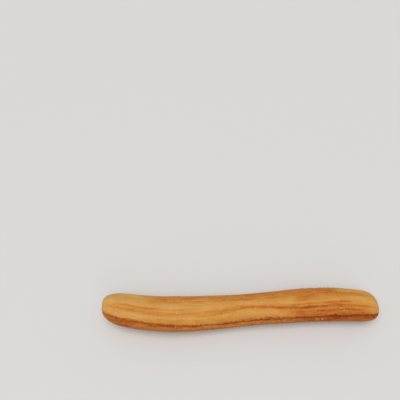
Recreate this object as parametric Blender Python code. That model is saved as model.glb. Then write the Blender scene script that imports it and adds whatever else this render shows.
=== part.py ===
"""A churro: one stick of dough, pressed through an eight-toothed star nozzle, cut off and deep-fried.

Metres, +Z up. X runs along the stick from its left end to its right end, -Y is its front side, and
Z = 0 is the narrow flat that it rests on. Angles round the stick start at the front and rise
over the top, so 90 degrees is the top and -90 degrees the underside.
"""

import math

import bmesh
import bpy
from mathutils import Vector

# The stick.
LENGTH = 0.1864
LEFT_DIAMETER = 0.024  # measured over the ribs
RIGHT_DIAMETER = 0.0215
SWELLING = 0.0005  # how far the girth rises and falls along the stick, as fried dough swells
SWELLS = 1.9  # rises and falls from end to end, with the first waist at the left end
HEIGHT_SHARE = 0.96  # height over width: soft dough settles a little

# How it lies: sideways waves of one, two, three and four half turns, each bulging to the front first.
BENDS = (0.0029, 0.0034, 0.0003, 0.0003)
LEFT_LIFT = 0.0016  # how far each end curls up off the table
RIGHT_LIFT = 0.0010
LIFT_SHARPNESS = 4  # a high power keeps the middle of the stick on the table
RESTING_FLAT = 0.0005  # depth of the flat worn on the lowest rib

# The grooves between the ribs that the nozzle's teeth leave. The first groove is the one just above the
# front, and the others follow round over the top.
GROOVE_DEPTHS = (0.0024, 0.0015, 0.0006, 0.0013, 0.0017, 0.0015, 0.0015, 0.0018)
RIBS = len(GROOVE_DEPTHS)
RIB_ROUNDNESS = 0.75  # 1 gives half-round ribs, less gives broader ones with tighter grooves
SHORT_STRAY = math.radians(4.0)  # how far the ribs stray round the stick in short waves
SHORT_WAVES = 2.3  # short waves from end to end
SHORT_START = math.radians(-31)
LONG_STRAY = math.radians(4.5)  # how far every other groove strays in one wave from end to end
LONG_START = math.radians(11)
TWIST = math.radians(-8.0)  # how far the ribs turn round the stick from its left end to its right end
FRONT_SAG = math.radians(6.5)  # how far the front rib has slumped while the dough was soft
SAG_SHARPNESS = 3  # more keeps the slump closer to the front

# Where ribs have slipped round the stick: angle and half width in degrees, start and stop as shares of the
# length, and degrees turned.
SLIPPED = (
    (22, 26, 0.235, 0.39, 4.5),
    (22, 22, 0.44, 0.56, -2.5),
    (22, 22, 0.80, 0.90, 2.2),
    (67, 30, 0.45, 0.60, 7.5),
)
SLIP_EASING = 0.06  # share of the length over which a slip comes and goes
SLIP_CORE = 0.6  # share of its half width within which a slip is whole
SLIP_EDGE = 1.5  # how many half widths out a slip has died away

# The two ends, cut while the dough was soft: round domes, whose faces lean where the cut was slanted.
# A lean below zero sets the front side further right than the back.
LEFT_DOME = 0.0225
RIGHT_DOME = 0.0146
BLUNTNESS = 2.8  # 2 gives a round dome, more gives a flatter face with tighter edges
LEFT_SLANT = -0.19  # how far the face leans, as length over width
RIGHT_SLANT = -0.14
SLANT_REACH = 0.031  # how far along the stick the lean dies out
LEFT_TIP = 0.0011  # how far the tip lies in front of the middle line
RIGHT_TIP = 0.0024

# The facets.
POINTS_PER_RIB = 6
BODY_SECTIONS = 46
DOME_SECTIONS = 8
HEADING_STEP = 0.0005  # share of the length over which the middle line's heading is taken

CRUST_COLOUR = (0.62, 0.30, 0.085, 1.0)
CRUST_ROUGHNESS = 0.55


def bend(along):
    """How far the middle line lies in front of a straight one, at a share of the length."""
    return sum(
        size * math.sin(wave * math.pi * along) for wave, size in enumerate(BENDS, start=1)
    )


def lift(along):
    """How far the underside curls up off the table."""
    from_middle = 2 * along - 1
    height = LEFT_LIFT if from_middle < 0 else RIGHT_LIFT
    return height * abs(from_middle) ** LIFT_SHARPNESS


def girth(along):
    """The radius over the ribs."""
    diameter = LEFT_DIAMETER + (RIGHT_DIAMETER - LEFT_DIAMETER) * along
    return diameter / 2 - SWELLING * math.cos(2 * math.pi * SWELLS * along)


def rise(value, low, high):
    """A smooth step from 0 at low to 1 at high."""
    share = min(1.0, max(0.0, (value - low) / (high - low)))
    return share * share * (3 - 2 * share)


def slip(place, along):
    """How far round the stick the ribs near one place have slipped."""
    total = 0.0
    for degrees, half_width, start, stop, turned in SLIPPED:
        nearness = math.cos(place - math.radians(degrees))
        outer = math.cos(math.radians(half_width * SLIP_EDGE))
        inner = math.cos(math.radians(half_width * SLIP_CORE))
        coming = rise(along, start - SLIP_EASING, start + SLIP_EASING)
        going = rise(along, stop - SLIP_EASING, stop + SLIP_EASING)
        total += math.radians(turned) * rise(nearness, outer, inner) * coming * (1 - going)
    return total


def stray(place, along):
    """How far round the stick the dough that left the nozzle at one place has turned."""
    short = SHORT_STRAY * math.sin(2 * math.pi * SHORT_WAVES * along + place + SHORT_START)
    every_other = (1 + math.sin(place * RIBS / 2)) / 2
    long = LONG_STRAY * every_other * math.cos(2 * math.pi * along + LONG_START)
    sag = FRONT_SAG * ((1 + math.cos(place)) / 2) ** SAG_SHARPNESS
    return short + long + TWIST * (along - 0.5) - sag + slip(place, along)


def groove(place):
    """How deep the surface lies under the ribs' tops, at one place round the nozzle."""
    rib_top = abs(math.cos(place * RIBS / 2)) ** RIB_ROUNDNESS
    nearest = math.floor(place * RIBS / (2 * math.pi)) % RIBS
    return GROOVE_DEPTHS[nearest] * (1 - rib_top)


def middle(along):
    """A point on the middle line, which runs as high as the stick is thick there."""
    height = girth(along) * HEIGHT_SHARE + lift(along)
    return Vector(((along - 0.5) * LENGTH, -bend(along), height))


def centre(along, narrowing):
    """The middle of a section. narrowing is 1 on the body, and 0 at a tip."""
    off_line = LEFT_TIP if along < 0.5 else RIGHT_TIP
    return middle(along) - Vector((0, off_line * (1 - narrowing), 0))


def slant(x, sideways):
    """How far the slanted cuts push a point along the stick."""
    from_left = max(0.0, 1 - (x + LENGTH / 2) / SLANT_REACH)
    from_right = max(0.0, 1 - (LENGTH / 2 - x) / SLANT_REACH)
    return sideways * (LEFT_SLANT * from_left**2 + RIGHT_SLANT * from_right**2)


def section(along, narrowing):
    """The points round the stick at a share of its length."""
    ahead = middle(along + HEADING_STEP) - middle(along - HEADING_STEP)
    to_back = Vector((-ahead.y, ahead.x, 0)).normalized()
    points = []
    count = RIBS * POINTS_PER_RIB
    for n in range(count):
        place = 2 * math.pi * n / count - math.pi / 2
        angle = place + stray(place, along)
        radius = (girth(along) - narrowing * groove(place)) * narrowing
        sideways = -radius * math.cos(angle)
        point = centre(along, narrowing) + to_back * sideways
        point.z += radius * math.sin(angle) * HEIGHT_SHARE
        point.x += slant(point.x, sideways)
        points.append(point)
    return points


def dome(depth):
    """(how far from the end's tip, narrowing) of each section of a cut end, from its tip inwards."""
    sections = []
    for n in range(1, DOME_SECTIONS + 1):
        turn = math.pi / 2 * n / DOME_SECTIONS
        ahead, aside = math.cos(turn), math.sin(turn)
        inner = (ahead**BLUNTNESS + aside**BLUNTNESS) ** (1 / BLUNTNESS)
        sections.append((depth * (1 - ahead / inner), aside / inner))
    return sections


def stations():
    """(share of the length, narrowing) of every section, from left to right, without the two tips."""
    left = [(x / LENGTH, narrowing) for x, narrowing in dome(LEFT_DOME)]
    right = [(1 - x / LENGTH, narrowing) for x, narrowing in reversed(dome(RIGHT_DOME))]
    start, stop = left[-1][0], right[0][0]
    body = [
        (start + (stop - start) * n / (BODY_SECTIONS + 1), 1.0)
        for n in range(1, BODY_SECTIONS + 1)
    ]
    return left + body + right


def skin(mesh, rings, left_tip, right_tip):
    """Joins the rings into one closed skin, with a fan of triangles to each tip."""
    loops = [[mesh.verts.new(point) for point in ring] for ring in rings]
    count = len(loops[0])
    for near, far in zip(loops, loops[1:]):
        for n in range(count):
            after = (n + 1) % count
            mesh.faces.new((near[n], near[after], far[after], far[n]))
    for loop, tip in ((loops[0], left_tip), (loops[-1], right_tip)):
        pole = mesh.verts.new(tip)
        for n in range(count):
            mesh.faces.new((pole, loop[n], loop[(n + 1) % count]))
    bmesh.ops.recalc_face_normals(mesh, faces=mesh.faces)


def flatten_underside(mesh):
    """Cuts the lowest rib flat, so that the stick rests on a true face."""
    level = min(vertex.co.z for vertex in mesh.verts) + RESTING_FLAT
    whole = list(mesh.verts) + list(mesh.edges) + list(mesh.faces)
    cut = bmesh.ops.bisect_plane(
        mesh, geom=whole, plane_co=(0, 0, level), plane_no=(0, 0, -1), clear_outer=True
    )
    rim = [edge for edge in cut["geom_cut"] if isinstance(edge, bmesh.types.BMEdge)]
    bmesh.ops.contextual_create(mesh, geom=rim)


def stand_at_origin(mesh):
    """Moves the stick so that the origin is under its middle, on the level that it rests on."""
    low = [min(vertex.co[axis] for vertex in mesh.verts) for axis in range(3)]
    high = [max(vertex.co[axis] for vertex in mesh.verts) for axis in range(3)]
    foot = Vector(((low[0] + high[0]) / 2, (low[1] + high[1]) / 2, low[2]))
    bmesh.ops.translate(mesh, verts=mesh.verts, vec=-foot)


def crust():
    """Fried dough: golden, with a soft sheen of oil."""
    material = bpy.data.materials.new("crust")
    material.use_nodes = True
    surface = material.node_tree.nodes["Principled BSDF"]
    surface.inputs["Base Color"].default_value = CRUST_COLOUR
    surface.inputs["Roughness"].default_value = CRUST_ROUGHNESS
    surface.inputs["Metallic"].default_value = 0.0
    return material


def churro():
    """The stick, as one solid."""
    mesh = bmesh.new()
    rings = [section(along, narrowing) for along, narrowing in stations()]
    skin(mesh, rings, centre(0.0, 0.0), centre(1.0, 0.0))
    flatten_underside(mesh)
    stand_at_origin(mesh)
    data = bpy.data.meshes.new("churro")
    mesh.to_mesh(data)
    mesh.free()
    data.shade_smooth()
    data.materials.append(crust())
    stick = bpy.data.objects.new("churro", data)
    bpy.context.scene.collection.objects.link(stick)


for thing in list(bpy.data.objects):
    bpy.data.objects.remove(thing)
churro()
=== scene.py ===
"""A churro on a pale table: the fried crust of the stick, and the few grains of sugar left on it.

Metres, +Z up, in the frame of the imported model. X runs along the stick, -Y is its front side, and it rests
at Z = 0. Angles round the stick start at the front and rise over the top, so 90 degrees is the top.
"""

import math

import bmesh
import bpy
from mathutils import Euler, Matrix, Vector


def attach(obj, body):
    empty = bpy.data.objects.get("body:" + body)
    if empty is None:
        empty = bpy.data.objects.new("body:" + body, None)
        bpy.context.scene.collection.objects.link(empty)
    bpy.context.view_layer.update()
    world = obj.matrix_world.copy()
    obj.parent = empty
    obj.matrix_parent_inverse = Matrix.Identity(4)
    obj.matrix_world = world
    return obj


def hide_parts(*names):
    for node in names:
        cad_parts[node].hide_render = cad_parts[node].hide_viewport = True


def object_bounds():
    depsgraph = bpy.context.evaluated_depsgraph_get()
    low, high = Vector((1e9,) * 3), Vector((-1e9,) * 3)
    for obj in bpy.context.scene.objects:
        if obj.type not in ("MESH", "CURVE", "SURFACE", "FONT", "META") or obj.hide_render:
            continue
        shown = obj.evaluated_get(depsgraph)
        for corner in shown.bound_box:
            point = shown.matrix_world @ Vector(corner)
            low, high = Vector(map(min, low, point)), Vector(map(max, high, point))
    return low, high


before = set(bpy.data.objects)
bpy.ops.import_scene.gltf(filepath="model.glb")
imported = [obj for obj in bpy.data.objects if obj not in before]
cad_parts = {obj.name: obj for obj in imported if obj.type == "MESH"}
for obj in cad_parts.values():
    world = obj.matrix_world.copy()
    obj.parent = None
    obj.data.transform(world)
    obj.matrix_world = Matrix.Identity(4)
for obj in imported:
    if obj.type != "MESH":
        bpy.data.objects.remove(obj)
cad_low, cad_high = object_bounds()
scene = bpy.context.scene


# ---- The table, the light and the camera ----
# A plain pale table top in a bright white room, under the broad soft light of an overcast sky. The camera
# looks down from in front, as someone does who stands at the table.

TABLE_COLOUR = (0.72, 0.71, 0.695, 1.0)
TABLE_ROUGHNESS = 0.55
TABLE_WIDTH = 6.0
TABLE_GAP = 0.0001  # keeps the table top out of the plane of the resting flat
WHITE = (1.0, 1.0, 1.0, 1.0)
ROOM_LIGHT = 0.46  # how brightly the room lights what stands in it
ROOM_SEEN = 0.64  # how bright the room itself looks
CAMERA_PLACE = (-0.0271, -0.1635, 0.3898)
CAMERA_TILT = math.radians(56.3)  # below the horizon
NEAREST_SEEN = 0.01
LENS = 54


def plain_material(name, colour, roughness):
    """A Principled material of one colour."""
    material = bpy.data.materials.new(name)
    material.use_nodes = True
    surface = material.node_tree.nodes["Principled BSDF"]
    surface.inputs["Base Color"].default_value = colour
    surface.inputs["Roughness"].default_value = roughness
    return material


def add_daylight(name, source, width, power):
    """Even light over the whole table, from a broad patch of sky in one direction."""
    lamp = bpy.data.lights.new(name, "SUN")
    lamp.angle = width
    lamp.energy = power
    holder = bpy.data.objects.new(name, lamp)
    holder.rotation_euler = (-Vector(source)).to_track_quat("-Z", "Y").to_euler()
    scene.collection.objects.link(holder)


table_mesh = bpy.data.meshes.new("table_top")
half = TABLE_WIDTH / 2
table_corners = [(-half, -half), (half, -half), (half, half), (-half, half)]
table_mesh.from_pydata([(x, y, -TABLE_GAP) for x, y in table_corners], [], [(0, 1, 2, 3)])
table_mesh.materials.append(plain_material("table_paint", TABLE_COLOUR, TABLE_ROUGHNESS))
table_top = bpy.data.objects.new("table_top", table_mesh)
scene.collection.objects.link(table_top)

room = bpy.data.worlds.new("room")
room.use_nodes = True
walls = room.node_tree.nodes["Background"]
walls.inputs["Color"].default_value = WHITE
looking = room.node_tree.nodes.new("ShaderNodeLightPath")
level = room.node_tree.nodes.new("ShaderNodeMath")
level.operation = "MULTIPLY_ADD"
level.inputs[1].default_value = ROOM_SEEN - ROOM_LIGHT
level.inputs[2].default_value = ROOM_LIGHT
room.node_tree.links.new(looking.outputs["Is Camera Ray"], level.inputs[0])
room.node_tree.links.new(level.outputs[0], walls.inputs["Strength"])
scene.world = room
add_daylight("sky_above", (-0.1, -0.25, 1.0), math.radians(45), 1.55)
add_daylight("sky_in_front", (0.3, -0.9, 0.7), math.radians(30), 0.20)

camera = bpy.data.cameras.new("camera")
camera.lens = LENS
camera.clip_start = NEAREST_SEEN
viewer = bpy.data.objects.new("camera", camera)
viewer.location = CAMERA_PLACE
viewer.rotation_euler = Euler((math.pi / 2 - CAMERA_TILT, 0.0, 0.0))
scene.collection.objects.link(viewer)
scene.camera = viewer
scene.view_settings.view_transform = "Standard"


# ---- The stick of dough ----
# Soft wheat dough, pressed through a star-shaped nozzle, so that it carries lengthwise ribs. It is cut off
# at each end, droops into a lazy bend as it falls into the oil, and fries to a crust.


class Wire:
    """One value in a node tree. Arithmetic on wires adds the tree's own Math nodes."""

    def __init__(self, socket):
        self.socket = socket
        self.tree = socket.id_data

    def math(self, operation, *others):
        """A Math node of this value and up to two others."""
        node = self.tree.nodes.new("ShaderNodeMath")
        node.operation = operation
        for socket, value in zip(node.inputs, (self, *others)):
            feed(socket, value)
        return Wire(node.outputs[0])

    def __add__(self, other):
        return self.math("ADD", other)

    def __sub__(self, other):
        return self.math("SUBTRACT", other)

    def __mul__(self, other):
        return self.math("MULTIPLY", other)

    def __truediv__(self, other):
        return self.math("DIVIDE", other)

    def __pow__(self, other):
        return self.math("POWER", other)

    def __rsub__(self, other):
        return self * -1.0 + other

    def __neg__(self):
        return self * -1.0

    __radd__ = __add__
    __rmul__ = __mul__


def feed(socket, value):
    """Joins a wire to a socket, or sets the socket to a plain value."""
    if isinstance(value, Wire):
        value.tree.links.new(value.socket, socket)
    else:
        socket.default_value = value


def add_node(tree, kind, inputs, **settings):
    """A new node. inputs gives a wire or a plain value for each socket, by the socket's name."""
    node = tree.nodes.new(kind)
    for name, value in settings.items():
        setattr(node, name, value)
    for name, value in inputs.items():
        feed(node.inputs[name], value)
    return node


def sine(value):
    """The sine of an angle in radians."""
    return value.math("SINE")


def cosine(value):
    """The cosine of an angle in radians."""
    return value.math("COSINE")


def rise(value, low, high):
    """A smooth step from 0 at low to 1 at high."""
    inputs = {"Value": value, "From Min": low, "From Max": high}
    node = add_node(value.tree, "ShaderNodeMapRange", inputs, interpolation_type="SMOOTHSTEP")
    return Wire(node.outputs[0])


def rise_straight(value, low, high):
    """A straight step from 0 at low to 1 at high."""
    node = add_node(value.tree, "ShaderNodeMapRange", {"Value": value, "From Min": low, "From Max": high})
    return Wire(node.outputs[0])


def window(value, start, stop, soft):
    """1 between start and stop, and 0 outside, with soft edges."""
    return rise(value, start - soft, start + soft) * (1.0 - rise(value, stop - soft, stop + soft))


def point_of(x, y, z):
    """A vector from its three parts."""
    node = add_node(x.tree, "ShaderNodeCombineXYZ", {"X": x, "Y": y, "Z": z})
    return Wire(node.outputs[0])


def parts_of(vector):
    """The three parts of a vector."""
    node = add_node(vector.tree, "ShaderNodeSeparateXYZ", {"Vector": vector})
    return [Wire(socket) for socket in node.outputs]


def drawn_out(vector, times):
    """A vector whose patterns come out drawn out along X."""
    node = add_node(vector.tree, "ShaderNodeVectorMath", {}, operation="MULTIPLY")
    feed(node.inputs[0], vector)
    feed(node.inputs[1], (1.0 / times, 1.0, 1.0))
    return Wire(node.outputs[0])


def lumps(place, size, seed, detail=2.0):
    """Noise from about -1 to 1 whose lumps are about as wide as size. Each use has a seed of its own."""
    gain = 3.0  # the raw noise runs from 0 to 1, and keeps mostly to its middle third
    inputs = {"Vector": place, "W": seed, "Scale": 1.0 / size, "Detail": detail}
    node = add_node(place.tree, "ShaderNodeTexNoise", inputs, noise_dimensions="4D")
    return (Wire(node.outputs[0]) - 0.5) * gain


def spots(place, spacing, radius, share, seed):
    """Spots of about one radius, in a share of the cells of a net: 1 in their middle, 0 outside."""
    smallest, spread = 0.5, 0.6  # the smallest spot, and what the largest adds, as shares of the radius
    inputs = {"Vector": place, "W": seed, "Scale": 1.0 / spacing}
    node = add_node(place.tree, "ShaderNodeTexVoronoi", inputs, voronoi_dimensions="4D")
    chance, size, _ = parts_of(Wire(node.outputs["Color"]))
    rim = (size * spread + smallest) * (radius / spacing)
    return chance.math("LESS_THAN", share) * (1.0 - rise(Wire(node.outputs["Distance"]), 0.0, rim))


def add_input(tree, name, kind, value):
    """A named input of a geometry tree."""
    socket = tree.interface.new_socket(name, in_out="INPUT", socket_type=kind)
    socket.default_value = value


def given_to(tree):
    """The wires of a geometry tree's inputs, by name."""
    entry = tree.nodes.new("NodeGroupInput")
    return {socket.name: Wire(socket) for socket in entry.outputs if socket.name}


def named(tree, name, data_type="FLOAT"):
    """An attribute that an earlier step stored."""
    node = add_node(tree, "GeometryNodeInputNamedAttribute", {"Name": name}, data_type=data_type)
    return Wire(node.outputs["Attribute"])


def then(geometry, kind, inputs, **settings):
    """Passes geometry through one more node."""
    node = add_node(geometry.tree, kind, inputs, **settings)
    feed(node.inputs[0], geometry)
    return Wire(node.outputs[0])


def store(geometry, name, value, data_type="FLOAT"):
    """Keeps a value on each point of the mesh."""
    inputs = {"Name": name, "Value": value}
    return then(geometry, "GeometryNodeStoreNamedAttribute", inputs, data_type=data_type, domain="POINT")


def moved(geometry, offset):
    """Moves each point of a geometry by its own offset."""
    return then(geometry, "GeometryNodeSetPosition", {"Offset": offset})


def scaled(vector, times):
    """A vector, longer by a factor."""
    node = add_node(vector.tree, "ShaderNodeVectorMath", {}, operation="SCALE")
    feed(node.inputs["Vector"], vector)
    feed(node.inputs["Scale"], times)
    return Wire(node.outputs[0])


def grown(name, tree, sizes, bed_mesh=None):
    """Runs a geometry tree with the sizes that its inputs name, and returns what it makes as a piece."""
    bed = bpy.data.objects.new(name + "_bed", bed_mesh or bpy.data.meshes.new(name + "_bed"))
    scene.collection.objects.link(bed)
    modifier = bed.modifiers.new("Grow", "NODES")
    modifier.node_group = tree
    for socket in tree.interface.items_tree:
        if socket.in_out == "INPUT" and socket.name in sizes:
            modifier[socket.identifier] = sizes[socket.name]
    depsgraph = bpy.context.evaluated_depsgraph_get()
    mesh = bpy.data.meshes.new_from_object(
        bed.evaluated_get(depsgraph), preserve_all_data_layers=True, depsgraph=depsgraph
    )
    bpy.data.objects.remove(bed)
    mesh.name = name
    piece = bpy.data.objects.new(name, mesh)
    scene.collection.objects.link(piece)
    return piece


# The stick, as it lies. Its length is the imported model's.
CUT_LENGTH = cad_high.x - cad_low.x
LEFT_DIAMETER = 0.024  # measured over the ribs
RIGHT_DIAMETER = 0.022
SWELLING = 0.0005  # how far the girth rises and falls along the stick, as fried dough swells
SWELLS = 1.9  # rises and falls from end to end
HEIGHT_SHARE = 0.96  # height over width: soft dough settles a little
BENDS = (0.0029, 0.0034, 0.0003, 0.0003)  # sideways waves of one, two, three and four half turns
LEFT_LIFT = 0.0016  # how far each end curls up off the table
RIGHT_LIFT = 0.0010
LIFT_SHARPNESS = 4  # more keeps a longer middle on the table
SETTLED = 0.0004  # how far the lowest rib is pressed flat

# The grooves between the ribs: the first is the one just above the front, and the others follow round over
# the top.
GROOVE_DEPTHS = (0.0024, 0.0015, 0.0006, 0.0013, 0.0017, 0.0015, 0.0015, 0.0018)
RIBS = len(GROOVE_DEPTHS)
RIB_ROUNDNESS = 0.75  # 1 gives half-round ribs, less gives broader ones with tighter grooves
SHORT_STRAY = math.radians(4.0)  # how far the ribs stray round the stick in short waves
SHORT_WAVES = 2.3
SHORT_START = math.radians(-31)
LONG_STRAY = math.radians(4.5)  # how far every other groove strays in one wave from end to end
LONG_START = math.radians(11)
TWIST = math.radians(-8.0)  # how far the ribs turn round the stick from its left end to its right end
FRONT_SAG = math.radians(6.5)  # how far the front rib has slumped
SAG_SHARPNESS = 3  # more keeps the slump closer to the front

# The two ends: blunt domes that were cut aslant.
LEFT_DOME = 0.0225
RIGHT_DOME = 0.0146
BLUNTNESS = 2.8  # 2 gives a round dome, more gives a flatter face with tighter edges
LEFT_SLANT = -0.19  # how far the face leans, as length over width
RIGHT_SLANT = -0.14
SLANT_REACH = 0.031  # how far along the stick the lean dies out
LEFT_TIP = 0.0011  # how far the tip lies in front of the middle line
RIGHT_TIP = 0.0024

# The sheet of points that is rolled up into the stick.
NOZZLE_RADIUS = 0.0115
POINTS_AROUND = 208
SECTIONS = 456
DOME_SHARE = 0.09  # share of the sections that goes to each end
SEAM = 1e-6  # points closer than this become one

# A patch round the stick: how many half widths out it has died away, and the share within which it is whole.
PATCH_EDGE = 1.5
PATCH_CORE = 0.6
PATCH_EASING = 0.02  # share of the length over which it comes and goes, unless it has an easing of its own

# Where ribs have slipped round the stick: angle and half width in degrees, start and stop as shares of the
# length, and degrees turned.
SLIPPED = (
    (22, 26, 0.235, 0.39, 4.5),
    (22, 22, 0.44, 0.56, -2.5),
    (22, 22, 0.80, 0.90, 2.2),
    (67, 30, 0.45, 0.60, 7.5),
)
SLIP_EASING = 0.06  # share of the length over which a slip comes and goes

# How torn the grooves' edges are: everywhere, by 1 more along the front groove, and by more again in its
# worst stretch. Both stretches have an angle, half width, start and stop, as above.
TEAR = 0.0014  # how far an edge that is torn by 1 strays
TEAR_SIZE = 0.0025  # how wide a tear is, about
TORN = 0.5
FRONT_TEARS = (22, 16, 0.02, 0.98)
WORST_TEARS = (22, 16, 0.52, 0.70)
WORST_TORN = 0.7

# Where the crust is browner: angle round the stick and half width in degrees, start and stop as shares of
# the length, and how much browner.
BROWNED = (
    (133, 21, 0.16, 0.86, 0.65),
    (97, 10, 0.71, 0.78, 0.62),
    (104, 9, 0.78, 0.95, 0.36),
    (75, 8, 0.05, 0.20, 0.40),
    (67, 3, 0.10, 0.50, 0.15),
    (64, 8, 0.40, 0.50, 0.35),
    (70, 5, 0.46, 0.72, 0.55),
    (73, 5, 0.60, 0.72, 0.40),
    (67, 4, 0.70, 0.98, 0.50),
    (67, 5, 0.70, 0.88, 0.80),
    (76, 4, 0.70, 0.90, 0.20),
    (46, 12, 0.69, 0.97, 0.90),
    (6, 22, 0.00, 0.13, 1.10),
    (16, 10, 0.70, 1.05, 1.00),
    (40, 10, 0.10, 0.95, 0.18),
    (26, 10, 0.02, 0.37, 1.00),
    (26, 8, 0.35, 0.59, 0.65),
    (23, 4, 0.30, 0.60, 1.05),
    (42, 12, 0.22, 0.30, 0.60),
    (40, 8, 0.29, 0.36, 0.45),
    (30, 6, 0.27, 0.38, 0.50),
    (34, 9, 0.00, 0.05, 0.50),
    (20, 7, 0.82, 1.05, 1.60),
    (26, 10, 0.57, 1.02, 1.00),
    (0, 18, 0.00, 0.90, 0.52),
    (-6, 24, 0.90, 1.05, 0.75),
    (-55, 40, 0.05, 0.95, 0.80),
    (210, 30, 0.10, 0.90, 0.55),
)
BROWNED_EASING = 0.03  # share of the length over which a browner patch comes and goes
WANDER_ROUND = 0.10  # how far the patches' edges wander round the stick, in radians
WANDER_ALONG = 0.035  # and along it, as a share of the length

# Fine creases along the ribs: angle in degrees, how far it drifts from start to stop, start, stop, depth.
CREASES = (
    (80, 5, 0.05, 0.36, 0.00034),
    (78, 1, 0.68, 0.89, 0.00055),
    (146, -4, 0.30, 0.62, 0.00030),
    (-12, 5, 0.45, 0.75, 0.00030),
    (190, 4, 0.12, 0.44, 0.00035),
    (236, -5, 0.50, 0.88, 0.00035),
    (53, 2, 0.70, 0.93, 0.00030),
    (31, -1, 0.70, 0.98, 0.00035),
)
CREASE_EASING = 0.02  # share of the length over which a crease comes and goes
CREASE_WANDER = 0.02  # how far a crease wanders round the stick, in radians
CREASE_SPREAD = 0.0018  # one less the cosine of the angle from a crease's middle to its edge

# Burst bubbles: angle in degrees, share of the length, radius, depth.
BURST = ((125, 0.62, 0.0012, 0.0006),)

# The fried surface. Each kind of relief has the size of its lumps, how far they are drawn out along the
# stick, their detail, and then their height: on plain crust, how much more on the grooves' flanks, and how
# much more where the crust is browner.
RELIEFS = (
    (0.0080, 3.0, 2.0, 0.00030, 0.0, 0.0),  # uneven ribs
    (0.0013, 22.0, 2.0, 0.00007, 0.00010, 0.00010),  # streaks from the nozzle
    (0.0016, 1.0, 3.0, 0.00006, 0.00008, 0.00012),  # grain
    (0.0030, 0.6, 1.0, 0.0, 0.00024, 0.0),  # scales on the flanks
)
FLANK = (0.15, 0.95, 0.12)  # start and stop of a flank, as shares of the groove's depth, and their softness
BLISTERS = (0.0028, 0.0011, 0.35)  # spacing, radius, and the share of places that have one
BLISTER_HEIGHT = 0.00006
BROWN_BLISTER_HEIGHT = 0.00028  # how much higher where the crust is browner
PITS = (0.0050, 0.0008, 0.25)
PIT_DEPTH = 0.00045


def bend_of(along):
    """How far the middle line lies in front of a straight one, and how fast that grows."""
    offset = growth = 0.0
    for wave, size in enumerate(BENDS, start=1):
        turn = along * (wave * math.pi)
        offset = sine(turn) * size + offset
        growth = cosine(turn) * (size * wave * math.pi) + growth
    return offset, growth


def blunt_arc(turn):
    """How far aside and how far ahead a blunt quarter arc lies, as it turns from straight ahead to aside."""
    aside, ahead = sine(turn).math("MAXIMUM", 0.0), cosine(turn).math("MAXIMUM", 0.0)
    inner = (aside**BLUNTNESS + ahead**BLUNTNESS) ** (1 / BLUNTNESS)
    return aside / inner, ahead / inner


def patch(place, along, angle, half_width, start, stop, soft=PATCH_EASING):
    """A patch round one angle, from one share of the length to another."""
    nearness = cosine(place - math.radians(angle))
    outer = math.cos(math.radians(half_width * PATCH_EDGE))
    inner = math.cos(math.radians(half_width * PATCH_CORE))
    return rise(nearness, outer, inner) * window(along, start, stop, soft)


def torn_edge(place, along, straight, seed):
    """The place round the nozzle, strayed to and fro as the grooves' torn edges are."""
    torn = rise(lumps(drawn_out(straight, 2.0), size=0.012, seed=seed), -0.5, 0.5)
    torn = torn * (patch(place, along, *FRONT_TEARS) + TORN)
    torn = torn + patch(place, along, *WORST_TEARS) * WORST_TORN
    ragged = lumps(drawn_out(straight, 0.7), TEAR_SIZE, seed=seed + 1.0, detail=1.0) * torn
    return place + ragged * (TEAR / NOZZLE_RADIUS)


def deepest(place):
    """How deep the groove nearest to each place is at its bottom."""
    depth = 0.0
    for number, size in enumerate(GROOVE_DEPTHS):
        nearness = cosine(place - (number + 0.5) * 2 * math.pi / RIBS)
        depth = nearness.math("GREATER_THAN", math.cos(math.pi / RIBS)) * size + depth
    return depth


def strayed(place, along):
    """The angle to which the dough that left the nozzle at one place has turned round the stick."""
    short = sine(along * (2 * math.pi * SHORT_WAVES) + place + SHORT_START) * SHORT_STRAY
    every_other = (sine(place * (RIBS / 2)) + 1.0) * 0.5
    long = every_other * cosine(along * (2 * math.pi) + LONG_START) * LONG_STRAY
    sag = ((cosine(place) + 1.0) * 0.5) ** SAG_SHARPNESS * FRONT_SAG
    angle = place + short + long + (along - 0.5) * TWIST - sag
    for *where, turned in SLIPPED:
        angle = angle + patch(place, along, *where, SLIP_EASING) * math.radians(turned)
    return angle


def browned_by(place, along):
    """How much browner than plain crust each point is."""
    browned = 0.0
    for *where, amount in BROWNED:
        part = patch(place, along, *where, BROWNED_EASING) * amount
        browned = part.math("MAXIMUM", browned)
    return browned


def creased_by(place, along, straight):
    """How deep the fine creases and the burst bubbles are."""
    creased = 0.0
    for degrees, drift, start, stop, depth in CREASES:
        line = (along - start) * (math.radians(drift) / (stop - start)) + math.radians(degrees)
        apart = 1.0 - cosine(place - line)
        crease = (1.0 - rise(apart, 0.0, CREASE_SPREAD)) * window(along, start, stop, CREASE_EASING)
        creased = crease * depth + creased
    for degrees, share, radius, depth in BURST:
        turn = math.radians(degrees)
        front, up = math.cos(turn) * NOZZLE_RADIUS, math.sin(turn) * NOZZLE_RADIUS
        gap = add_node(straight.tree, "ShaderNodeVectorMath", {}, operation="DISTANCE")
        feed(gap.inputs[0], straight)
        feed(gap.inputs[1], ((share - 0.5) * CUT_LENGTH, front, up))
        creased = (1.0 - rise(Wire(gap.outputs["Value"]), 0.0, radius)) * depth + creased
    return creased


def fried_relief(nozzle, hollow, browned, seed):
    """How far the crust stands proud: uneven ribs, streaks, grain, scales and blisters, less the pits."""
    flank = window(hollow, *FLANK)
    relief = 0.0
    for number, (size, drawn, detail, plain, on_flank, where_brown) in enumerate(RELIEFS, start=3):
        height = flank * on_flank + browned * where_brown + plain
        relief = lumps(drawn_out(nozzle, drawn), size, seed + number, detail) * height + relief
    blister = browned * BROWN_BLISTER_HEIGHT + BLISTER_HEIGHT
    relief = relief + spots(nozzle, *BLISTERS, seed + 7.0) * blister
    return relief - spots(nozzle, *PITS, seed + 8.0) * PIT_DEPTH


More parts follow.
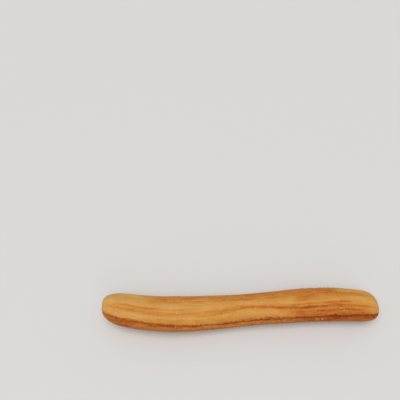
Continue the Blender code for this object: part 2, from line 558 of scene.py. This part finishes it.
def dough_tree():
    """The stick as a sheet of points that is rolled up, ribbed, bent, closed at its ends and roughened."""
    tree = bpy.data.node_groups.new("Piped dough", "GeometryNodeTree")
    tree.interface.new_socket("Geometry", in_out="OUTPUT", socket_type="NodeSocketGeometry")
    add_input(tree, "Length", "NodeSocketFloat", CUT_LENGTH)
    add_input(tree, "Left Diameter", "NodeSocketFloat", LEFT_DIAMETER)
    add_input(tree, "Right Diameter", "NodeSocketFloat", RIGHT_DIAMETER)
    add_input(tree, "Seed", "NodeSocketFloat", 1.0)
    given = given_to(tree)
    length, seed = given["Length"], given["Seed"]

    sheet = add_node(
        tree,
        "GeometryNodeMeshGrid",
        {"Size X": 1.0, "Size Y": 1.0, "Vertices X": SECTIONS + 1, "Vertices Y": POINTS_AROUND + 1},
    )
    across, around, _ = parts_of(Wire(tree.nodes.new("GeometryNodeInputPosition").outputs[0]))
    share = across + 0.5
    place = around * (2 * math.pi) + math.pi / 2

    # Where along the stick a section is, and how far the ends' domes narrow it.
    left_turn = rise_straight(share, 0.0, DOME_SHARE) * (math.pi / 2)
    right_turn = rise_straight(1.0 - share, 0.0, DOME_SHARE) * (math.pi / 2)
    left_aside, left_ahead = blunt_arc(left_turn)
    right_aside, right_ahead = blunt_arc(right_turn)
    body = rise_straight(share, DOME_SHARE, 1 - DOME_SHARE) * (length - (LEFT_DOME + RIGHT_DOME))
    along = ((1.0 - left_ahead) * LEFT_DOME + body + right_ahead * RIGHT_DOME) / length
    narrowing = left_aside * right_aside
    straight = point_of(
        (along - 0.5) * length,
        cosine(place) * narrowing * NOZZLE_RADIUS,
        sine(place) * narrowing * NOZZLE_RADIUS,
    )

    # The grooves, whose edges the nozzle tears, and the angle that each point has turned to.
    edge = torn_edge(place, along, straight, seed)
    hollow = 1.0 - cosine(edge * (RIBS / 2)).math("ABSOLUTE") ** RIB_ROUNDNESS
    groove = hollow * deepest(place)
    angle = strayed(place, along)

    # The section's points, round the middle line.
    diameter = given["Left Diameter"] + (given["Right Diameter"] - given["Left Diameter"]) * along
    girth = diameter * 0.5 - cosine(along * (2 * math.pi * SWELLS)) * SWELLING
    radius = (girth - narrowing * groove) * narrowing
    sideways = -(radius * cosine(angle))
    offset, growth = bend_of(along)
    run = (growth * growth + length * length) ** 0.5
    lift = (along * 2.0 - 1.0).math("ABSOLUTE") ** LIFT_SHARPNESS
    lift = lift * (along * (RIGHT_LIFT - LEFT_LIFT) + LEFT_LIFT)
    tip = (along * (RIGHT_TIP - LEFT_TIP) + LEFT_TIP) * (1.0 - narrowing)
    x = (along - 0.5) * length + growth / run * sideways
    y = length / run * sideways - offset - tip
    z = (girth + radius * sine(angle)) * HEIGHT_SHARE + lift - SETTLED
    from_left = (1.0 - (x + length * 0.5) / SLANT_REACH).math("MAXIMUM", 0.0)
    from_right = (1.0 - (length * 0.5 - x) / SLANT_REACH).math("MAXIMUM", 0.0)
    slant = from_left * from_left * LEFT_SLANT + from_right * from_right * RIGHT_SLANT
    x = x + sideways * slant

    # What the finish needs to know: the place in the nozzle, the grooves, and where the crust is browner.
    wander = lumps(drawn_out(straight, 2.5), size=0.004, seed=seed + 2.0)
    drift = lumps(drawn_out(straight, 8.0), size=0.0025, seed=seed + 9.0)
    browned = browned_by(place + wander * WANDER_ROUND, along + drift * WANDER_ALONG)
    creased = creased_by(place + wander * CREASE_WANDER, along, straight)
    dough = Wire(sheet.outputs["Mesh"])
    dough = store(dough, "nozzle", straight, "FLOAT_VECTOR")
    dough = store(dough, "hollow", hollow * narrowing)
    dough = store(dough, "sunk", groove * narrowing)
    dough = store(dough, "browned", browned)
    dough = store(dough, "creased", creased)
    dough = then(dough, "GeometryNodeSetPosition", {"Position": point_of(x, y, z)})
    dough = then(dough, "GeometryNodeMergeByDistance", {"Distance": SEAM})

    # The fried surface, pushed out along the normals of the closed stick.
    hollow, browned = named(tree, "hollow"), named(tree, "browned")
    relief = fried_relief(named(tree, "nozzle", "FLOAT_VECTOR"), hollow, browned, seed)
    dough = store(dough, "relief", relief - named(tree, "creased"))
    normal = Wire(tree.nodes.new("GeometryNodeInputNormal").outputs[0])
    dough = moved(dough, scaled(normal, named(tree, "relief")))

    # The table presses the lowest rib flat.
    x, y, z = parts_of(Wire(tree.nodes.new("GeometryNodeInputPosition").outputs[0]))
    dough = then(dough, "GeometryNodeSetPosition", {"Position": point_of(x, y, z.math("MAXIMUM", 0.0))})
    dough = then(dough, "GeometryNodeSetShadeSmooth", {"Shade Smooth": True})
    dough = then(dough, "GeometryNodeRealizeInstances", {})
    dough = then(dough, "GeometryNodeSetMaterial", {"Material": crust})
    feed(tree.nodes.new("NodeGroupOutput").inputs[0], dough)
    return tree


# The crust's tones run from 0, the palest gold, to 1, the darkest brown. Each has a linear colour.
CRUST_TONES = (
    (0.00, (0.72, 0.42, 0.138)),
    (0.30, (0.65, 0.298, 0.061)),
    (0.60, (0.56, 0.184, 0.029)),
    (0.85, (0.42, 0.096, 0.010)),
    (1.00, (0.31, 0.052, 0.004)),
)

# What plain crust has, and how far other things move its tone.
PLAIN_TONE = 0.25
BROWNER = 0.40  # where it is browned by 1
# Painted shade and light: the next three darken the tone in the grooves and in creases and pits, and pale it
# on raised crust.
SUNK_SHADE = 110.0  # for each metre under the ribs' tops
CREASE_SHADE = 150.0  # for each metre of a crease's depth
RELIEF_LIGHT_AND_SHADE = 260.0  # for each metre of relief
RIGHT_BROWNER = 0.14  # from the left end to the right end
ENDS_PALER = 0.10  # at both ends
ENDS_SHARPNESS = 4.0  # more keeps the paler crust closer to the ends
MOTTLED = 0.10

# Fine patterns in it: how far they move the tone of plain crust, and how much more where it is browned by 1.
GRAIN_TONE = (0.07, 0.10)
LINES_TONE = (0.08, 0.16)
PORES_TONE = (0.08, 0.25)
STREAKS_TONE = (0.11, 60.0)  # the second is for each metre under the ribs' tops

# The front strip just above the table is darkened and greyed with painted shade. The painted shade starts at
# the first of each pair of distances from the nozzle's middle, and is whole at the second.
FRONT_SHADE_LEFT = (0.60, 0.57, 0.74)  # what is left of red, green and blue
FRONT_SHADE_STRENGTH = 0.85
FRONT_SHADE_IN_FRONT = (0.002, 0.009)
FRONT_SHADE_BELOW = (-0.0046, 0.0)
UNDERSIDE = (0.002, 0.008)  # between these two depths the painted shade weakens again
UNDERSIDE_WEAKER = 0.6

CRUST_ROUGHNESS = 0.55
OILY = 0.07  # how far the roughness rises and falls from dry places to oily ones
ROUGH_GRAIN = 0.06  # how much rougher the grain's high spots are
BUMP_HEIGHT = 0.0002
BUMP_STRENGTH = 0.9
FINE_BUMP = 0.5  # as shares of the bump's height
LINES_BUMP = 0.4
BLISTERS_BUMP = 0.6
CRUST_SPECULAR = 0.10
CRUST_GLOW = 0.1  # how much of the light passes into the crust and out again
CRUST_GLOW_COLOURS = (1.0, 0.4, 0.15)  # how far red, green and blue get, as shares of the depth
CRUST_GLOW_DEPTH = 0.002


def carried(tree, name, output="Fac"):
    """A value that the mesh carries on each point."""
    node = add_node(tree, "ShaderNodeAttribute", {}, attribute_name=name)
    return Wire(node.outputs[output])


def crust_tone(nozzle, patterns):
    """How dark the crust is, from 0 to 1: browning together with painted shade and light. patterns pairs
    fine patterns with how far they move the tone.
    """
    sunk, browned = carried(nozzle.tree, "sunk"), carried(nozzle.tree, "browned")
    creased, relief = carried(nozzle.tree, "creased"), carried(nozzle.tree, "relief")
    further = parts_of(nozzle)[0] * (1 / CUT_LENGTH)  # share of the length from the middle, to the right
    mottle = lumps(drawn_out(nozzle, 2.5), size=0.006, seed=12.0, detail=3.0)
    streaks = lumps(drawn_out(nozzle, 18.0), size=0.0013, seed=13.0)
    # Sunk crust gets painted shade.
    tone = PLAIN_TONE + browned * BROWNER + sunk * SUNK_SHADE + further * RIGHT_BROWNER
    tone = tone - (further * 2.0) ** ENDS_SHARPNESS * ENDS_PALER + mottle * MOTTLED
    tone = tone + streaks * (sunk * STREAKS_TONE[1] + STREAKS_TONE[0])
    for pattern, (plain, browner) in patterns:
        tone = tone + pattern * (browned * browner + plain)
    # Painted light on raised crust, and painted shade in pits and creases.
    return tone - relief * RELIEF_LIGHT_AND_SHADE + creased * CREASE_SHADE


def painted_front_shade(nozzle):
    """How much painted shade darkens and greys the front strip."""
    _, front, up = parts_of(nozzle)
    strip = rise(front, *FRONT_SHADE_IN_FRONT) * rise(-up, *FRONT_SHADE_BELOW)
    return strip * (1.0 - rise(-up, *UNDERSIDE) * UNDERSIDE_WEAKER) * FRONT_SHADE_STRENGTH


def crust_material():
    """Fried dough: gold on the ribs, darker in the grooves with painted shade, and browner where it lay
    longest in the hot oil.
    """
    material = bpy.data.materials.new("crust")
    material.use_nodes = True
    tree = material.node_tree
    surface = tree.nodes["Principled BSDF"]
    nozzle = carried(tree, "nozzle", "Vector")
    grain = lumps(nozzle, size=0.0012, seed=11.0, detail=4.0)
    pores = spots(nozzle, spacing=0.0013, radius=0.0005, share=0.4, seed=14.0)
    lines = lumps(drawn_out(nozzle, 10.0), size=0.0008, seed=17.0)

    # The colour, and over it the painted shade of the front strip.
    patterns = ((lines, LINES_TONE), (grain, GRAIN_TONE), (pores, PORES_TONE))
    ramp = add_node(tree, "ShaderNodeValToRGB", {"Fac": crust_tone(nozzle, patterns)})
    band = ramp.color_ramp
    band.elements[0].position, band.elements[1].position = CRUST_TONES[0][0], CRUST_TONES[-1][0]
    band.elements[0].color = (*CRUST_TONES[0][1], 1.0)
    band.elements[1].color = (*CRUST_TONES[-1][1], 1.0)
    for position, colour in CRUST_TONES[1:-1]:
        band.elements.new(position).color = (*colour, 1.0)
    mix_inputs = {"Factor": painted_front_shade(nozzle)}
    front_shade_mix = add_node(tree, "ShaderNodeMix", mix_inputs, data_type="RGBA", blend_type="MULTIPLY")
    paint, tint = [socket for socket in front_shade_mix.inputs if socket.type == "RGBA"]
    tree.links.new(ramp.outputs["Color"], paint)
    tint.default_value = (*FRONT_SHADE_LEFT, 1.0)
    result = next(socket for socket in front_shade_mix.outputs if socket.type == "RGBA")
    tree.links.new(result, surface.inputs["Base Color"])

    # Oil, and what is too fine for the mesh.
    oil = lumps(nozzle, size=0.012, seed=15.0)
    feed(surface.inputs["Roughness"], oil * OILY + grain * ROUGH_GRAIN + CRUST_ROUGHNESS)
    blisters = spots(nozzle, spacing=0.0010, radius=0.0005, share=0.5, seed=18.0)
    fine = lumps(nozzle, size=0.0006, seed=16.0, detail=5.0)
    height = fine * FINE_BUMP + lines * LINES_BUMP + blisters * BLISTERS_BUMP - pores
    bump_inputs = {"Strength": BUMP_STRENGTH, "Distance": BUMP_HEIGHT, "Height": height}
    bump = add_node(tree, "ShaderNodeBump", bump_inputs)
    tree.links.new(bump.outputs["Normal"], surface.inputs["Normal"])
    surface.inputs["Specular IOR Level"].default_value = CRUST_SPECULAR
    surface.inputs["Subsurface Weight"].default_value = CRUST_GLOW
    surface.inputs["Subsurface Radius"].default_value = CRUST_GLOW_COLOURS
    surface.inputs["Subsurface Scale"].default_value = CRUST_GLOW_DEPTH
    return material


crust = crust_material()
stick_sizes = {
    "Length": CUT_LENGTH,
    "Left Diameter": LEFT_DIAMETER,
    "Right Diameter": RIGHT_DIAMETER,
}
stick = grown("fried_stick", dough_tree(), stick_sizes)
stick_low = Vector([min(v.co[axis] for v in stick.data.vertices) for axis in range(3)])
stick_high = Vector([max(v.co[axis] for v in stick.data.vertices) for axis in range(3)])
shift = (cad_low + cad_high - stick_low - stick_high) / 2
stick.data.transform(Matrix.Translation((shift.x, shift.y, 0.0)))
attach(stick, "root")
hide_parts("churro")


# ---- The grains of sugar ----
# Coarse sugar crystals that rubbed off other churros. They lie scattered over the upper side, pressed a
# little into the oily crust.

CRYSTAL_SHAPE = (1.0, 0.85, 0.75)  # share of its size along each side
CRYSTALS_PER_AREA = 16000  # for each square metre that faces straight up
FACING_UP = (0.1, 0.9)  # crust that faces up by less than the first has none, and by the second has all
SMALLEST = 0.00035
LARGEST = 0.00080
WORN_EDGE = 0.14  # as a share of a crystal's size
PRESSED_IN = 0.3  # how deep a crystal's middle lies, as a share of its size
WARM_SUGAR = (0.70, 0.44, 0.17, 1.0)  # where the crust shows through
PALE_SUGAR = (0.82, 0.62, 0.34, 1.0)
SUGAR_ROUGHNESS = 0.25
SUGAR_GLOW = 0.3
SUGAR_GLOW_COLOURS = (1.0, 0.8, 0.5)
SUGAR_GLOW_DEPTH = 0.0005


def crystal_mesh():
    """One sugar crystal of unit size: a block with worn edges."""
    mesh = bmesh.new()
    bmesh.ops.create_cube(mesh, size=1.0)
    bmesh.ops.scale(mesh, vec=CRYSTAL_SHAPE, verts=mesh.verts)
    bmesh.ops.bevel(mesh, geom=mesh.edges[:], offset=WORN_EDGE, segments=1, affect="EDGES")
    data = bpy.data.meshes.new("crystal")
    mesh.to_mesh(data)
    mesh.free()
    return data


def scatter_tree():
    """Crystals scattered over the upper side of whatever mesh the tree is given."""
    tree = bpy.data.node_groups.new("Scattered sugar", "GeometryNodeTree")
    tree.interface.new_socket("Geometry", in_out="INPUT", socket_type="NodeSocketGeometry")
    tree.interface.new_socket("Geometry", in_out="OUTPUT", socket_type="NodeSocketGeometry")
    tree.interface.new_socket("Crystal", in_out="INPUT", socket_type="NodeSocketObject")
    add_input(tree, "Crystals Per Area", "NodeSocketFloat", CRYSTALS_PER_AREA)
    add_input(tree, "Smallest", "NodeSocketFloat", SMALLEST)
    add_input(tree, "Largest", "NodeSocketFloat", LARGEST)
    add_input(tree, "Seed", "NodeSocketInt", 3)
    given = given_to(tree)

    upward = parts_of(Wire(tree.nodes.new("GeometryNodeInputNormal").outputs[0]))[2]
    density = rise(upward, *FACING_UP) * given["Crystals Per Area"]
    scatter = add_node(
        tree,
        "GeometryNodeDistributePointsOnFaces",
        {"Mesh": given["Geometry"], "Density": density, "Seed": given["Seed"]},
        distribute_method="RANDOM",
    )

    def at_random(kind, low, high, seed):
        """A random value for each point."""
        node = add_node(tree, "FunctionNodeRandomValue", {}, data_type=kind)
        low_socket, high_socket = [s for s in node.inputs if s.name in ("Min", "Max") and s.enabled]
        feed(low_socket, low)
        feed(high_socket, high)
        node.inputs["Seed"].default_value = seed
        return Wire(next(s for s in node.outputs if s.enabled))

    size = at_random("FLOAT", given["Smallest"], given["Largest"], 1)
    sink = scaled(Wire(scatter.outputs["Normal"]), size * -PRESSED_IN)
    spread = moved(Wire(scatter.outputs["Points"]), sink)
    crystal = add_node(tree, "GeometryNodeObjectInfo", {"Object": given["Crystal"]})
    turned = at_random("FLOAT_VECTOR", (0.0, 0.0, 0.0), (2 * math.pi,) * 3, 2)
    inputs = {"Instance": Wire(crystal.outputs["Geometry"]), "Rotation": turned, "Scale": size}
    spread = then(spread, "GeometryNodeInstanceOnPoints", inputs)
    spread = then(spread, "GeometryNodeRealizeInstances", {})
    spread = then(spread, "GeometryNodeSetMaterial", {"Material": sugar})
    feed(tree.nodes.new("NodeGroupOutput").inputs[0], spread)
    return tree


def sugar_material():
    """Sugar: clear crystals that look white, and warm where the crust shows through."""
    material = plain_material("sugar", PALE_SUGAR, SUGAR_ROUGHNESS)
    tree = material.node_tree
    surface = tree.nodes["Principled BSDF"]
    place = Wire(tree.nodes.new("ShaderNodeTexCoord").outputs["Object"])
    ramp = tree.nodes.new("ShaderNodeValToRGB")
    feed(ramp.inputs["Fac"], lumps(place, size=0.0006, seed=21.0) * 0.5 + 0.5)
    ramp.color_ramp.elements[0].color = WARM_SUGAR
    ramp.color_ramp.elements[1].color = PALE_SUGAR
    tree.links.new(ramp.outputs["Color"], surface.inputs["Base Color"])
    surface.inputs["Subsurface Weight"].default_value = SUGAR_GLOW
    surface.inputs["Subsurface Radius"].default_value = SUGAR_GLOW_COLOURS
    surface.inputs["Subsurface Scale"].default_value = SUGAR_GLOW_DEPTH
    return material


sugar = sugar_material()
crystal = bpy.data.objects.new("crystal", crystal_mesh())
scene.collection.objects.link(crystal)
grain_sizes = {
    "Crystal": crystal,
    "Crystals Per Area": CRYSTALS_PER_AREA,
    "Smallest": SMALLEST,
    "Largest": LARGEST,
}
grains = grown("sugar_grains", scatter_tree(), grain_sizes, stick.data.copy())
bpy.data.objects.remove(crystal)
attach(grains, "root")
